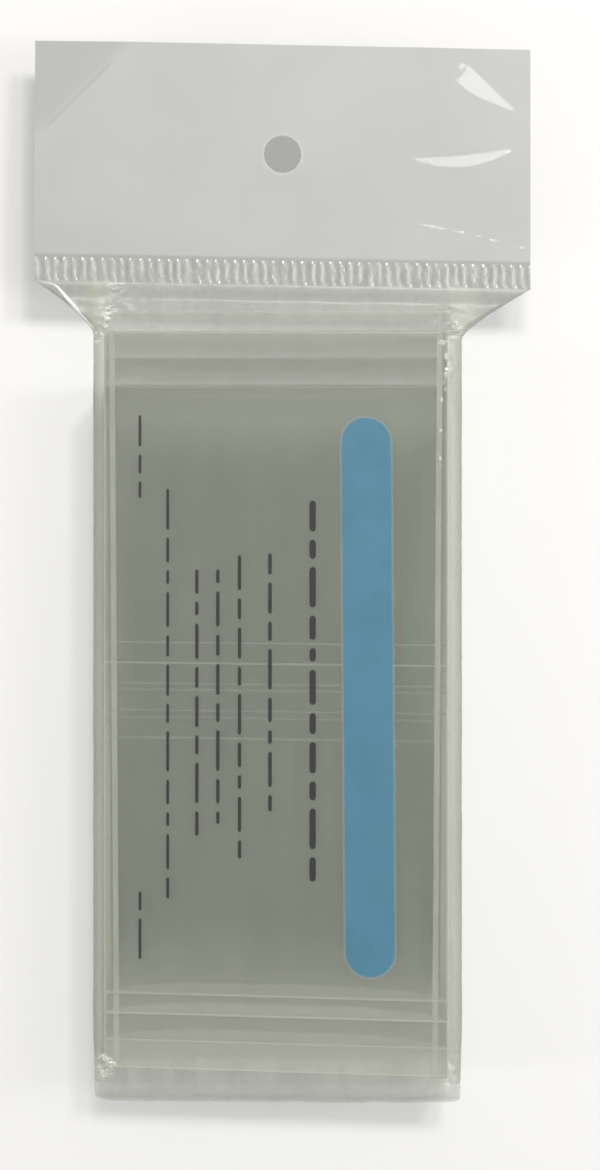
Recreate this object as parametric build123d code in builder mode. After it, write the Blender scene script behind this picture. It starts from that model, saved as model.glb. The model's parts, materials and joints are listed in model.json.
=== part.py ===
from build123d import *
import math
import os

os.makedirs("parts", exist_ok=True)

# A hanging retail pack of unfolded double-pocket coin flips, lying on its back.
# All lengths are millimetres. +X is to the right, +Y towards the header, +Z out of the front.
# Heights along the pack are first counted from its bottom end, then shifted so that the
# origin is under the middle of the whole pack.

# Flips
FLIP_WIDTH = 50.8
FLIP_LENGTH = 101.6
FLIP_SHEET = 0.08
POCKET_GAP = 0.08
FLIP_AIR = 0.03
FLIP_COUNT = 50
HINGE_STRIP = 3.0
WELD_INSET = 1.3
WELD_WIDTH = 0.8
END_FOLD = 0.3

# How far the three front flips have slipped towards the header, and the small jog of the rest
FIRST_SLIP = 11.1
SECOND_SLIP = 8.1
THIRD_SLIP = 4.1
STACK_JOG = 0.15
JOG_STEP = 2.4

# Bag
BAG_FILM = 0.1
SIDE_ROOM = 1.55
FRONT_ROOM = 0.2
BACK_ROOM = 0.1
BOTTOM_ROOM = 4.8
SHOULDER_ROOM = 7.7
CREST_ROOM = 1.1
CREST_TO_SEAL = 2.6
BODY_CORNER = 2.0
CREST_CORNER = 1.0
NECK_CORNER = 0.2
NECK_DEPTH = 0.25
NECK_INSET = 1.2
WELD_BEAD_OUT = 0.25
WELD_BEAD_TALL = 0.5

# Closing flap at the bottom end
END_ROUND = 3.0
FOLD_GAP = 0.3
LIP_LENGTH = 24.0
LIP_INSET = 0.5
LIP_CORNER = 1.5
STRIP_WIDTH = 48.0
STRIP_LENGTH = 8.0
STRIP_THICKNESS = 0.1
STRIP_FROM_EDGE = 2.0

# Header
HEADER_WIDTH = 73.4
HEADER_HEIGHT = 32.0
HEADER_DROP = 2.2
HEADER_FILM = 0.1
WHITE_SHEET = 0.2
HEADER_CORNER = 0.4
HANG_HOLE_DIAMETER = 5.5
HANG_HOLE_FROM_TOP = 16.2
SEAL_LENGTH = 3.7
SEAL_THICKNESS = 0.25
RIB_COUNT = 52
RIB_HEIGHT = 0.3
TILT_GAP = 0.7

# Worked-out heights, from the surface that the pack lies on
STRIP_Z = BAG_FILM
BACK_Z = STRIP_Z + STRIP_THICKNESS
STACK_Z = BACK_Z + BAG_FILM + BACK_ROOM
FLIP_THICKNESS = 2 * FLIP_SHEET + POCKET_GAP
FLIP_PITCH = FLIP_THICKNESS + FLIP_AIR
STACK_TOP_Z = STACK_Z + FLIP_COUNT * FLIP_PITCH - FLIP_AIR
FRONT_Z = STACK_TOP_Z + FRONT_ROOM + BAG_FILM
SEAM_Z = (BACK_Z + FRONT_Z) / 2
HEADER_Z = FRONT_Z - HEADER_DROP

# Worked-out places along the pack, from its bottom end
FOLD_Y = END_ROUND + FOLD_GAP
STACK_Y = BOTTOM_ROOM
FLIP_TOP_Y = STACK_Y + FLIP_LENGTH
SHOULDER_Y = FLIP_TOP_Y + SHOULDER_ROOM
CREST_Y = FLIP_TOP_Y + FIRST_SLIP + CREST_ROOM
SEAL_Y = CREST_Y + CREST_TO_SEAL
NECK_Y = SEAL_Y - TILT_GAP
HEADER_Y = SEAL_Y + SEAL_LENGTH
PACK_LENGTH = HEADER_Y + HEADER_HEIGHT
MIDDLE_Y = PACK_LENGTH / 2

# Worked-out half widths
BODY_HALF = FLIP_WIDTH / 2 + SIDE_ROOM + BAG_FILM
NECK_HALF = HEADER_WIDTH / 2 - NECK_INSET


def along(share_y, low_y, high_y, low, high):
    """Value at a place along the pack, on a straight line between two ends."""
    return low + (high - low) * (share_y - low_y) / (high_y - low_y)


def cross_plane(place_y):
    """Plane across the pack, with its own x along X and its own y along Z."""
    return Plane.XZ.offset(MIDDLE_Y - place_y)


def shift(place_y):
    """Place along the pack, counted from the origin instead of the bottom end."""
    return place_y - MIDDLE_Y


def save(builder, name):
    """Label a finished piece and write it as its own file."""
    builder.part.label = name
    export_step(builder.part, f"parts/{name}.step")


# Half width and seam height of the bag at the four places where its shape turns
CREST_HALF = along(CREST_Y, SHOULDER_Y, NECK_Y, BODY_HALF, NECK_HALF)
CREST_SEAM_Z = along(CREST_Y, SHOULDER_Y, NECK_Y, SEAM_Z, HEADER_Z)
BAG_START_Y = FOLD_Y + FOLD_GAP / 2


def channel(place_y, half_width, seam_z, crown_z, corner):
    """Cross section of one half of the bag: a thin channel from seam to crown and back."""
    way = math.copysign(1, crown_z - seam_z)
    inner_half = half_width - BAG_FILM
    inner_crown = crown_z - way * BAG_FILM
    inner_corner = max(corner - BAG_FILM, corner / 2)
    with BuildSketch(cross_plane(place_y)) as section:
        with BuildLine():
            outer = FilletPolyline(
                (-half_width, seam_z),
                (-half_width, crown_z),
                (half_width, crown_z),
                (half_width, seam_z),
                radius=corner,
            )
            inner = FilletPolyline(
                (-inner_half, seam_z),
                (-inner_half, inner_crown),
                (inner_half, inner_crown),
                (inner_half, seam_z),
                radius=inner_corner,
            )
            Line(outer @ 0, inner @ 0)
            Line(outer @ 1, inner @ 1)
        make_face()
    return section.sketch


# Front half of the bag: level over the flips, then down to the seal past the crest
with BuildPart() as front_film:
    loft(
        sections=[
            channel(BAG_START_Y, BODY_HALF, SEAM_Z, FRONT_Z, BODY_CORNER),
            channel(SHOULDER_Y, BODY_HALF, SEAM_Z, FRONT_Z, BODY_CORNER),
            channel(CREST_Y, CREST_HALF, CREST_SEAM_Z, FRONT_Z, CREST_CORNER),
            channel(NECK_Y, NECK_HALF, HEADER_Z, HEADER_Z + NECK_DEPTH, NECK_CORNER),
        ],
        ruled=True,
    )
save(front_film, "front_film")

# Back half of the bag: flat under the flips, then up to the seal
with BuildPart() as back_film:
    loft(
        sections=[
            channel(BAG_START_Y, BODY_HALF, SEAM_Z, BACK_Z, BODY_CORNER),
            channel(SHOULDER_Y, BODY_HALF, SEAM_Z, BACK_Z, BODY_CORNER),
            channel(NECK_Y, NECK_HALF, HEADER_Z, HEADER_Z - NECK_DEPTH, NECK_CORNER),
        ],
        ruled=True,
    )
save(back_film, "back_film")

# Trim welds along both seams, outside the film
with BuildPart() as side_welds:
    for weld_y, weld_half, weld_z in (
        (BAG_START_Y, BODY_HALF, SEAM_Z),
        (SHOULDER_Y, BODY_HALF, SEAM_Z),
        (NECK_Y, NECK_HALF, HEADER_Z),
    ):
        with BuildSketch(cross_plane(weld_y)):
            with Locations((weld_half + WELD_BEAD_OUT / 2, weld_z)):
                Rectangle(WELD_BEAD_OUT, WELD_BEAD_TALL)
    loft(ruled=True)
    mirror(about=Plane.YZ)
save(side_welds, "side_welds")

# Bottom panel: the front film folded round the bottom end, with tucked-in sides
with BuildPart() as bottom_panel:
    with BuildSketch(Plane.YZ):
        with BuildLine():
            end_round = FilletPolyline(
                (shift(END_ROUND + FOLD_GAP / 2), FRONT_Z),
                (shift(0), FRONT_Z),
                (shift(0), 0),
                (shift(END_ROUND + FOLD_GAP / 2), 0),
                radius=END_ROUND,
            )
            Line(end_round @ 1, end_round @ 0)
        make_face()
    extrude(amount=BODY_HALF, both=True)
    with BuildSketch(Plane.YZ):
        with BuildLine():
            hollow_round = FilletPolyline(
                (shift(END_ROUND + FOLD_GAP / 2), FRONT_Z - BAG_FILM),
                (shift(BAG_FILM), FRONT_Z - BAG_FILM),
                (shift(BAG_FILM), BAG_FILM),
                (shift(END_ROUND + FOLD_GAP / 2), BAG_FILM),
                radius=END_ROUND - BAG_FILM,
            )
            Line(hollow_round @ 1, hollow_round @ 0)
        make_face()
    extrude(amount=BODY_HALF - BAG_FILM, both=True, mode=Mode.SUBTRACT)
save(bottom_panel, "bottom_panel")

# Lip of the flap, flat under the back
LIP_START_Y = FOLD_Y + FOLD_GAP / 2
LIP_HALF = BODY_HALF - LIP_INSET
with BuildPart() as flap_lip:
    with BuildSketch(Plane.XY):
        with BuildLine():
            lip_end = FilletPolyline(
                (-LIP_HALF, shift(LIP_START_Y)),
                (-LIP_HALF, shift(LIP_LENGTH)),
                (LIP_HALF, shift(LIP_LENGTH)),
                (LIP_HALF, shift(LIP_START_Y)),
                radius=LIP_CORNER,
            )
            Line(lip_end @ 1, lip_end @ 0)
        make_face()
    extrude(amount=BAG_FILM)
save(flap_lip, "flap_lip")

# Adhesive strip between lip and back film
STRIP_Y = LIP_LENGTH - STRIP_FROM_EDGE - STRIP_LENGTH / 2
with BuildPart() as adhesive_strip:
    with BuildSketch(Plane.XY.offset(STRIP_Z)):
        with Locations((0, shift(STRIP_Y))):
            Rectangle(STRIP_WIDTH, STRIP_LENGTH)
    extrude(amount=STRIP_THICKNESS)
save(adhesive_strip, "adhesive_strip")


def header_layer(name, low_z, thickness):
    """One sheet of the header, with its share of the hang hole."""
    with BuildPart() as layer:
        with BuildSketch(Plane.XY.offset(low_z)):
            with Locations((0, shift(HEADER_Y + HEADER_HEIGHT / 2))):
                RectangleRounded(HEADER_WIDTH, HEADER_HEIGHT, HEADER_CORNER)
            with Locations((0, shift(PACK_LENGTH - HANG_HOLE_FROM_TOP))):
                Circle(HANG_HOLE_DIAMETER / 2, mode=Mode.SUBTRACT)
        extrude(amount=thickness)
    save(layer, name)


# Header: a white sheet between two clear films, level with the middle of the seal
WHITE_Z = HEADER_Z - WHITE_SHEET / 2
header_layer("header_back_film", WHITE_Z - HEADER_FILM, HEADER_FILM)
header_layer("header_white_sheet", WHITE_Z, WHITE_SHEET)
header_layer("header_front_film", WHITE_Z + WHITE_SHEET, HEADER_FILM)

# Crimp seal: a band of even ribs that runs along the whole lower edge of the header
RIB_PITCH = HEADER_WIDTH / RIB_COUNT
crests = []
for turn in range(2 * RIB_COUNT + 1):
    rib_x = -HEADER_WIDTH / 2 + turn * RIB_PITCH / 2
    rib_z = HEADER_Z + RIB_HEIGHT * math.cos(math.pi * turn)
    crests.append((rib_x, rib_z))
ribs_front = [(rib_x, rib_z + SEAL_THICKNESS / 2) for rib_x, rib_z in crests]
ribs_back = [(rib_x, rib_z - SEAL_THICKNESS / 2) for rib_x, rib_z in crests]

with BuildPart() as header_seal:
    with BuildSketch(cross_plane(SEAL_Y)):
        with BuildLine():
            Polyline(*ribs_front, *reversed(ribs_back), close=True)
        make_face()
    extrude(amount=-SEAL_LENGTH)
save(header_seal, "header_seal")


def make_flip(name, bottom_y, low_z):
    """One flip: a back sheet and two pocket sheets, welded at the sides and folded at the ends."""
    middle_y = shift(bottom_y + FLIP_LENGTH / 2)
    pocket = (FLIP_LENGTH - HINGE_STRIP) / 2
    weld_x = FLIP_WIDTH / 2 - WELD_INSET - WELD_WIDTH / 2
    pocket_y = HINGE_STRIP / 2 + pocket / 2
    fold_y = FLIP_LENGTH / 2 - END_FOLD / 2
    with BuildPart() as flip:
        with BuildSketch(Plane.XY.offset(low_z)):
            with Locations((0, middle_y)):
                Rectangle(FLIP_WIDTH, FLIP_LENGTH)
        extrude(amount=FLIP_SHEET)
        with BuildSketch(Plane.XY.offset(low_z + FLIP_SHEET)):
            with Locations((0, middle_y)):
                with GridLocations(2 * weld_x, 2 * pocket_y, 2, 2):
                    Rectangle(WELD_WIDTH, pocket)
                with GridLocations(0, 2 * fold_y, 1, 2):
                    Rectangle(FLIP_WIDTH, END_FOLD)
        extrude(amount=POCKET_GAP)
        with BuildSketch(Plane.XY.offset(low_z + FLIP_SHEET + POCKET_GAP)):
            with Locations((0, middle_y)):
                with GridLocations(0, 2 * pocket_y, 1, 2):
                    Rectangle(FLIP_WIDTH, pocket)
        extrude(amount=FLIP_SHEET)
    save(flip, name)


# The flips from the front one to the back one: three have slipped up, the rest lie square
FRONT_SLIPS = (FIRST_SLIP, SECOND_SLIP, THIRD_SLIP)
for number in range(1, FLIP_COUNT + 1):
    if number <= len(FRONT_SLIPS):
        slip = FRONT_SLIPS[number - 1]
    else:
        slip = STACK_JOG * math.sin(JOG_STEP * number)
    flip_z = STACK_Z + (FLIP_COUNT - number) * FLIP_PITCH
    make_flip(f"flip_{number:02d}", STACK_Y + slip, flip_z)
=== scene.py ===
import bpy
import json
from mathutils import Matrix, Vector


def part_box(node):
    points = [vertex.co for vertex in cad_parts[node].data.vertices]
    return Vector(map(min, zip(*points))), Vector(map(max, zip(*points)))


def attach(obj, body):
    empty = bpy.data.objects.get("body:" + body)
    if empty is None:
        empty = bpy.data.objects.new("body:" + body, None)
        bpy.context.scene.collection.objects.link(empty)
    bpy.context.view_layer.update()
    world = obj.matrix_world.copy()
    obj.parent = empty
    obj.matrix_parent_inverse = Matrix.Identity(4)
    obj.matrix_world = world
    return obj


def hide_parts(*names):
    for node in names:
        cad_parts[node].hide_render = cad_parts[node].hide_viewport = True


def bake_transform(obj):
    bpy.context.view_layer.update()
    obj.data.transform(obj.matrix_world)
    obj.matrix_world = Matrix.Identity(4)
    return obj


bl_info = {
    "name": "Coin Flip Pack",
    "version": (1, 0, 0),
    "blender": (4, 5, 0),
    "location": "View3D > Sidebar > Flip Pack",
    "description": "Makes the visible pieces of a hanging pack of coin flips around its frame",
    "category": "Object",
}

import json
import math
from types import SimpleNamespace

import bpy
from bpy.props import FloatProperty, FloatVectorProperty, IntProperty, PointerProperty
from mathutils import Vector, noise

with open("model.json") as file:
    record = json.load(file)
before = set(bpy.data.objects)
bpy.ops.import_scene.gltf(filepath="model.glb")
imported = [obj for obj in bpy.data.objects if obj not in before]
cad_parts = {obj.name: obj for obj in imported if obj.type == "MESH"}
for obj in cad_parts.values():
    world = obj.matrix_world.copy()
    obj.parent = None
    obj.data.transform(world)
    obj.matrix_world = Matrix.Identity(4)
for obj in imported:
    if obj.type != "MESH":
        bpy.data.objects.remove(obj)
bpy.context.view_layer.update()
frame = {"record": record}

MM = 0.001

# Places that the frame gives, in metres
SHEET_LOW, SHEET_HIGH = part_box("header_white_sheet")
SEAL_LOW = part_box("header_seal")[0]
FRONT_LOW, FRONT_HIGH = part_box("front_film")
BACK_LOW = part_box("back_film")[0]
PANEL_LOW, PANEL_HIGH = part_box("bottom_panel")
LIP_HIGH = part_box("flap_lip")[1]
STRIP_LOW, STRIP_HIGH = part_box("adhesive_strip")

PACK_TOP = SHEET_HIGH.y
HEADER_HALF = SHEET_HIGH.x
HEADER_Y = SHEET_LOW.y
HEADER_Z = (SHEET_LOW.z + SHEET_HIGH.z) / 2
SEAL_Y = SEAL_LOW.y
BODY_HALF = PANEL_HIGH.x
FRONT_Z = FRONT_HIGH.z
BACK_Z = BACK_LOW.z
SEAM_Z = (FRONT_Z + BACK_Z) / 2
FOLD_Y = (PANEL_HIGH.y + FRONT_LOW.y) / 2
END_Y = PANEL_LOW.y

# The hang hole, from the record's mount
HANG_HOLE = next(mount for mount in frame["record"]["mounts"] if mount["name"] == "hang_hole")
HOLE_Y = HANG_HOLE["pos_m"][1]
HOLE_RADIUS = HANG_HOLE["dims"]["r_mm"] * MM

# Flips: the three front ones have slipped up one by one, the rest lie square
FLIP_COUNT = 50
FRONT_FLIPS = 3
FLIP_NODES = [f"flip_{number:02d}" for number in range(1, FLIP_COUNT + 1)]
FLIP_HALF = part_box(FLIP_NODES[0])[1].x

# The photograph's frame, and how much of the pack one of its pixels shows
PHOTO_WIDE, PHOTO_HIGH = 600, 1170
PIXEL = 0.14767 * MM
PHOTO_MIDDLE_X = 282.5
PHOTO_MIDDLE_Y = 574.5


def linear(red, green, blue):
    """A colour as the eye reads it, 0 to 255, turned into the linear values that shaders use."""
    def one(value):
        share = value / 255
        return share / 12.92 if share <= 0.04045 else ((share + 0.055) / 1.055) ** 2.4
    return one(red), one(green), one(blue)


def length(label, note, value):
    """A size that a user may change, in metres."""
    return FloatProperty(name=label, description=note, default=value, unit="LENGTH", precision=5)


def colour(label, note, red, green, blue):
    """A colour that a user may change."""
    return FloatVectorProperty(
        name=label, description=note, default=linear(red, green, blue), subtype="COLOR", min=0, max=1)


class PackSizes(bpy.types.PropertyGroup):
    film: length("Bag film", "Thickness of the clear bag film", 0.1 * MM)
    body_corner: length("Body corner", "Radius of the film along the long edges", 2.0 * MM)
    neck: length("Neck", "Height of the tapered shoulders under the seal", 7.1 * MM)
    crest: length("Crest", "Where the front film starts to fall to the seal", 2.6 * MM)
    neck_depth: length("Neck depth", "Half opening of the bag at the seal", 0.25 * MM)
    white_sheet: length("White sheet", "Thickness of the white header sheet", 0.16 * MM)
    rib_height: length("Rib height", "Half height of the seal's ribs", 0.15 * MM)
    rib_count: IntProperty(name="Ribs", description="Ribs across the crimp seal", default=52)
    flip_sheet: length("Flip sheet", "Thickness of one flip sheet", 0.08 * MM)
    weld_inset: length("Weld inset", "From a flip's edge to its side weld", 1.1 * MM)
    weld_width: length("Weld width", "Width of a flip's side weld", 0.8 * MM)
    hinge_strip: length("Hinge strip", "Bare strip between the two pocket mouths", 3.0 * MM)
    bar_width: length("Bar width", "Width of the printed bar", 7.15 * MM)
    bar_length: length("Bar length", "Length of the printed bar", 82.6 * MM)


class PackColours(bpy.types.PropertyGroup):
    white: colour("White film", "Header sheet", 189, 191, 189)
    film: colour("Clear film", "Haze of the bag film", 188, 192, 180)
    seal: colour("Seal", "Crimped film", 185, 187, 182)
    flip: colour("Flip sheet", "Haze of a single flip", 122, 128, 115)
    flip_end: colour("Flip ends", "Haze of a flip near its lower end", 154, 157, 146)
    flip_top: colour("Flip tops", "Haze of a flip near its upper end", 121, 125, 114)
    # The flip weld colour is also used for the painted highlights on the flips' folded ends and pocket mouths
    weld: colour("Flip weld", "Pale weld line of a flip", 184, 188, 176)
    stack: colour("Flip stack", "Middle of the stack", 104, 110, 98)
    stack_end: colour("Stack ends", "Lower end of the stack", 164, 167, 155)
    stack_top: colour("Stack top", "Upper end of the stack", 144, 148, 137)
    bar: colour("Bar", "Printed bar", 73, 126, 150)
    # A painted reflection of the bar in the layers below it
    bar_reflection: colour("Bar ghost", "Pale edge round the bar", 138, 172, 180)
    ink: colour("Ink", "Printed rules", 30, 32, 30)
    floor: colour("Floor", "Plain pale floor", 250, 250, 249)


def sizes():
    return bpy.context.scene.pack_sizes


def colours():
    return bpy.context.scene.pack_colours


# Small helpers for numbers

def clamp(value, low=0.0, high=1.0):
    return max(low, min(high, value))


def ease(value):
    """Smooth step from 0 to 1."""
    share = clamp(value)
    return share * share * (3 - 2 * share)


def blend(low, high, share):
    return low + (high - low) * share


def hump(distance, width):
    """A soft bump that is 1 in the middle."""
    return math.exp(-(distance / width) ** 2)


def ripple(x, y, grain, seed):
    """Smooth unevenness from about -1 to 1, with a grain in metres."""
    return noise.noise(Vector((x / grain, y / grain, seed)))


def wobble(x, y, wave):
    """Smooth unevenness. A wave is its height, its grain and a seed."""
    height, grain, seed = wave
    return height * ripple(x, y, grain, seed)


# Small helpers for pieces

def clear_selection():
    if bpy.context.object and bpy.context.object.mode != "OBJECT":
        bpy.ops.object.mode_set(mode="OBJECT")
    bpy.ops.object.select_all(action="DESELECT")


def activate(piece):
    clear_selection()
    piece.select_set(True)
    bpy.context.view_layer.objects.active = piece


def grid_piece(name, cells, place):
    """A sheet of cells across and along. place(u, v) gives each point, with u and v from -1 to 1."""
    across, along = cells
    clear_selection()
    bpy.ops.mesh.primitive_grid_add(x_subdivisions=across, y_subdivisions=along, size=2)
    piece = bpy.context.object
    piece.name = name
    piece.data.name = name
    for vertex in piece.data.vertices:
        vertex.co = Vector(place(vertex.co.x, vertex.co.y))
    return piece


def apply_modifier(piece, kind, **settings):
    activate(piece)
    bpy.ops.object.modifier_add(type=kind)
    modifier = piece.modifiers[-1]
    for key, value in settings.items():
        setattr(modifier, key, value)
    bpy.ops.object.modifier_apply(modifier=modifier.name)


def thicken(piece, thickness):
    """Gives a sheet its thickness, inwards from the face that it was drawn as."""
    apply_modifier(piece, "SOLIDIFY", thickness=thickness, offset=-1, use_even_offset=False)


def merge_points(piece, distance):
    activate(piece)
    bpy.ops.object.mode_set(mode="EDIT")
    bpy.ops.mesh.select_all(action="SELECT")
    bpy.ops.mesh.remove_doubles(threshold=distance)
    bpy.ops.object.mode_set(mode="OBJECT")


def close_ends(piece):
    """Caps the open ends of a tube and turns its faces outwards."""
    activate(piece)
    bpy.ops.object.mode_set(mode="EDIT")
    bpy.ops.mesh.select_all(action="SELECT")
    bpy.ops.mesh.fill_holes(sides=0)
    bpy.ops.mesh.select_all(action="SELECT")
    bpy.ops.mesh.normals_make_consistent(inside=False)
    bpy.ops.object.mode_set(mode="OBJECT")


def join_pieces(pieces, name):
    clear_selection()
    for piece in pieces:
        piece.select_set(True)
    bpy.context.view_layer.objects.active = pieces[0]
    bpy.ops.object.join()
    joined = bpy.context.object
    joined.name = name
    joined.data.name = name
    return joined


# The pack lies a little out of square: lines across it fall to the right, the film's more near the top and
# the flips' more near the bottom, and both sit a little to the left
LEAN_MIDDLE = 0.0140
LEAN_GROWTH = 0.0065
FLIPS_LEAN = 0.0083
FLIPS_GROWTH = -0.0243
HEADER_FALL = LEAN_MIDDLE + LEAN_GROWTH * HEADER_Y / PACK_TOP
BODY_ASIDE = 0.75 * MM
FLIPS_ASIDE = 1.0 * MM

# How a piece lies: how far aside, its lean at the pack's middle and the lean's growth towards the top
FILM_LIE = (BODY_ASIDE, LEAN_MIDDLE, LEAN_GROWTH)
FLIPS_LIE = (FLIPS_ASIDE, FLIPS_LEAN, FLIPS_GROWTH)


def lean(piece, lie):
    """Moves a piece's points to where they lie in the leaning pack."""
    aside, middle, growth = lie
    for vertex in piece.data.vertices:
        x, y, z = vertex.co
        fall = middle + growth * y / PACK_TOP
        body = ease((SEAL_Y - y) / sizes().neck)
        vertex.co = (x - aside * body, y - x * fall, z)


def finish_piece(piece, material, smooth_angle=40, lie=FILM_LIE, casts_shadow=False):
    """Leans a piece with the pack, smooths it and gives it its material and slot."""
    lean(piece, lie)
    piece.visible_shadow = casts_shadow
    activate(piece)
    bpy.ops.object.shade_smooth_by_angle(angle=math.radians(smooth_angle))
    piece.data.materials.clear()
    piece.data.materials.append(material)
    return piece


# Shader maths

def math_node(operation, swapped=False):
    """A method that adds a Math node for a wire and what it is joined with."""
    def join(self, *others):
        node = self.tree.nodes.new("ShaderNodeMath")
        node.operation = operation
        values = (*others, self) if swapped else (self, *others)
        for socket, value in zip(node.inputs, values):
            plug(self.tree, socket, value)
        return Wire(self.tree, node.outputs[0])
    return join


class Wire:
    """A node's output, usable in sums. Each operator adds a Math node."""

    def __init__(self, tree, socket):
        self.tree = tree
        self.socket = socket

    def beside(self, out):
        """Another output of the same node."""
        return Wire(self.tree, self.socket.node.outputs[out])

    __add__ = __radd__ = math_node("ADD")
    __sub__ = math_node("SUBTRACT")
    __rsub__ = math_node("SUBTRACT", swapped=True)
    __mul__ = __rmul__ = math_node("MULTIPLY")
    __truediv__ = math_node("DIVIDE")
    __pow__ = math_node("POWER")
    __abs__ = math_node("ABSOLUTE")
    least = math_node("MINIMUM")
    most = math_node("MAXIMUM")


def plug(tree, socket, value):
    """Links a wire to a socket, or sets the socket's own value."""
    if isinstance(value, Wire):
        tree.links.new(value.socket, socket)
    elif isinstance(value, (int, float)):
        socket.default_value = value
    elif len(socket.default_value) == 4 and len(value) == 3:
        socket.default_value = (*value, 1)
    else:
        socket.default_value = tuple(value)


class Nodes:
    """The shader nodes of one material or of the world."""

    def __init__(self, owner):
        owner.use_nodes = True
        self.tree = owner.node_tree
        self.tree.nodes.clear()

    def add(self, kind, settings=None, sockets=None):
        """Adds a node, sets it and then sets or links its sockets."""
        node = self.tree.nodes.new(kind)
        for key, value in (settings or {}).items():
            setattr(node, key, value)
        for key, value in (sockets or {}).items():
            plug(self.tree, node.inputs[key], value)
        return node

    def node(self, kind, settings=None, sockets=None, out=0):
        """Adds a node and gives the wire from one of its outputs."""
        return Wire(self.tree, self.add(kind, settings, sockets).outputs[out])

    def seen(self):
        """1 for rays that show the background: the camera's own, mirrored ones and those through glass."""
        ray = self.node("ShaderNodeLightPath", out="Is Camera Ray")
        return ray.most(ray.beside("Is Glossy Ray")).most(ray.beside("Is Transmission Ray"))


class Finish(Nodes):
    """One material, built a node at a time around a Principled shader."""

    def __init__(self, name):
        self.material = bpy.data.materials.new(name)
        super().__init__(self.material)
        self.shader = self.node("ShaderNodeBsdfPrincipled")
        self.output = self.add("ShaderNodeOutputMaterial", sockets={"Surface": self.shader})

    def place(self):
        """The piece's own x, y and z, in millimetres."""
        point = self.node("ShaderNodeTexCoord", out="Object")
        split = self.node("ShaderNodeSeparateXYZ", sockets={0: point})
        return [split.beside(axis) / MM for axis in range(3)]

    def grain(self, size, stretch=(1, 1, 1), detail=3, rough=0.55):
        """Noise from 0 to 1, with a grain in millimetres that may be drawn out along an axis."""
        point = self.node("ShaderNodeTexCoord", out="Object")
        scale = [1 / (size * MM * part) for part in stretch]
        moved = self.node("ShaderNodeMapping", sockets={"Vector": point, "Scale": scale})
        return self.node(
            "ShaderNodeTexNoise",
            sockets={"Vector": moved, "Scale": 1.0, "Detail": detail, "Roughness": rough})

    def step(self, value, low, high):
        """Smooth step from 0 at low to 1 at high."""
        return self.node(
            "ShaderNodeMapRange", {"interpolation_type": "SMOOTHSTEP"},
            {"Value": value, "From Min": low, "From Max": high})

    def band(self, value, middle, half, soft):
        """1 within half of the middle, falling to 0 over a soft edge."""
        return 1 - self.step(abs(value - middle), half, half + soft)

    def mix(self, share, first, second):
        """One colour into another."""
        return self.node("ShaderNodeMix", {"data_type": "RGBA"}, {0: share, 6: first, 7: second}, out=2)

    def bump(self, height, strength, distance):
        return self.node(
            "ShaderNodeBump", sockets={"Height": height, "Strength": strength, "Distance": distance})

    def set(self, **sockets):
        """Sets the Principled shader's sockets, whose spaces are written as underscores."""
        for key, value in sockets.items():
            plug(self.tree, self.shader.socket.node.inputs[key.replace("_", " ")], value)
        return self


def shade(rgb, factor):
    return tuple(clamp(part * factor) for part in rgb)


# Materials

def white_header_film():
    """White glossy film: faint mottling, painted shade along its lower edge above the seal, painted shade on
    its bent corner and in that corner's crease, a painted highlight round the hang hole, fine scuffs.
    """
    look = Finish("white_header_film")
    x, y, _ = look.place()
    tone = colours().white
    cloud = look.grain(14, detail=2)
    fleck = look.grain(0.9, detail=4)
    base = look.mix(cloud, shade(tone, 0.93), shade(tone, 1.06))
    # Painted shade along the sheet's lower edge, above the seal
    edge = 1 - look.step(y + x * HEADER_FALL - HEADER_Y / MM, 0.25, 0.75)
    base = look.mix(edge * 0.5, base, shade(tone, 0.55))
    # Painted shade on the bent upper left corner
    past = bend_distance(x, y + x * HEADER_FALL)
    base = look.mix(look.step(past, -0.3, 1.5) * 0.8, base, shade(tone, 0.9))
    # Painted shade in the bend's crease line
    line = look.band(past, 0, 0.1, 0.25) * look.band(x, *BEND_CREASE_SHADE, 1.5)
    base = look.mix(line * cloud * 0.8, base, shade(tone, 0.74))
    # Painted highlight round the hang hole's rim
    from_hole = (x ** 2 + (y - HOLE_Y / MM) ** 2) ** 0.5 - HOLE_RADIUS / MM
    base = look.mix((1 - look.step(from_hole, 0.1, 0.6)) * 0.7, base, shade(tone, 1.12))
    look.set(Base_Color=base, Roughness=0.28 + fleck * 0.14, IOR=1.5)
    look.set(Normal=look.bump(look.grain(2.2, detail=4), 0.12, 0.05 * MM))
    return look.material


# How a film's streaks are drawn out along each axis
DRAWN = (1, 7, 4)
EVEN = (5, 5, 5)

# The painted highlight along the left shoulder's edge: its run outwards, and its turn along the seal
HIGHLIGHT_RUN = 0.72
HIGHLIGHT_TURN = 0.26
HIGHLIGHT_TURN_POWER = 40
HIGHLIGHT_WHITE = linear(252, 253, 251)


def highlight_path(share):
    """How far out the highlighted line lies, in millimetres, a share of the way from its foot to the seal."""
    out = share * HIGHLIGHT_RUN + share ** HIGHLIGHT_TURN_POWER * HIGHLIGHT_TURN
    return (BODY_HALF + (HEADER_HALF - BODY_HALF) * out) / MM


# Crumpled spots of the front film, whitened with painted highlights: middle across and along, and reach, in
# millimetres
CRUMPLE_GLINTS = (
    (-24.7, 42.4, 1.9),
    (-25.7, 39.0, 1.7),
    (-27.3, 35.0, 1.2),
    (25.5, 36.4, 2.0),
    (-26.6, -72.6, 2.3),
)

# Its painted highlight spots along the right weld: middle and half size across and along, in millimetres
WELD_GLINT_SPOTS = (
    (23.6, 34.3, 0.9, 0.5),
    (24.2, 32.2, 0.45, 0.8),
    (24.2, 29.7, 0.4, 0.9),
    (23.5, 25.8, 0.35, 0.5),
    (23.4, 21.3, 0.3, 0.4),
    (23.3, 17.2, 0.3, 0.35),
)


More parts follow.
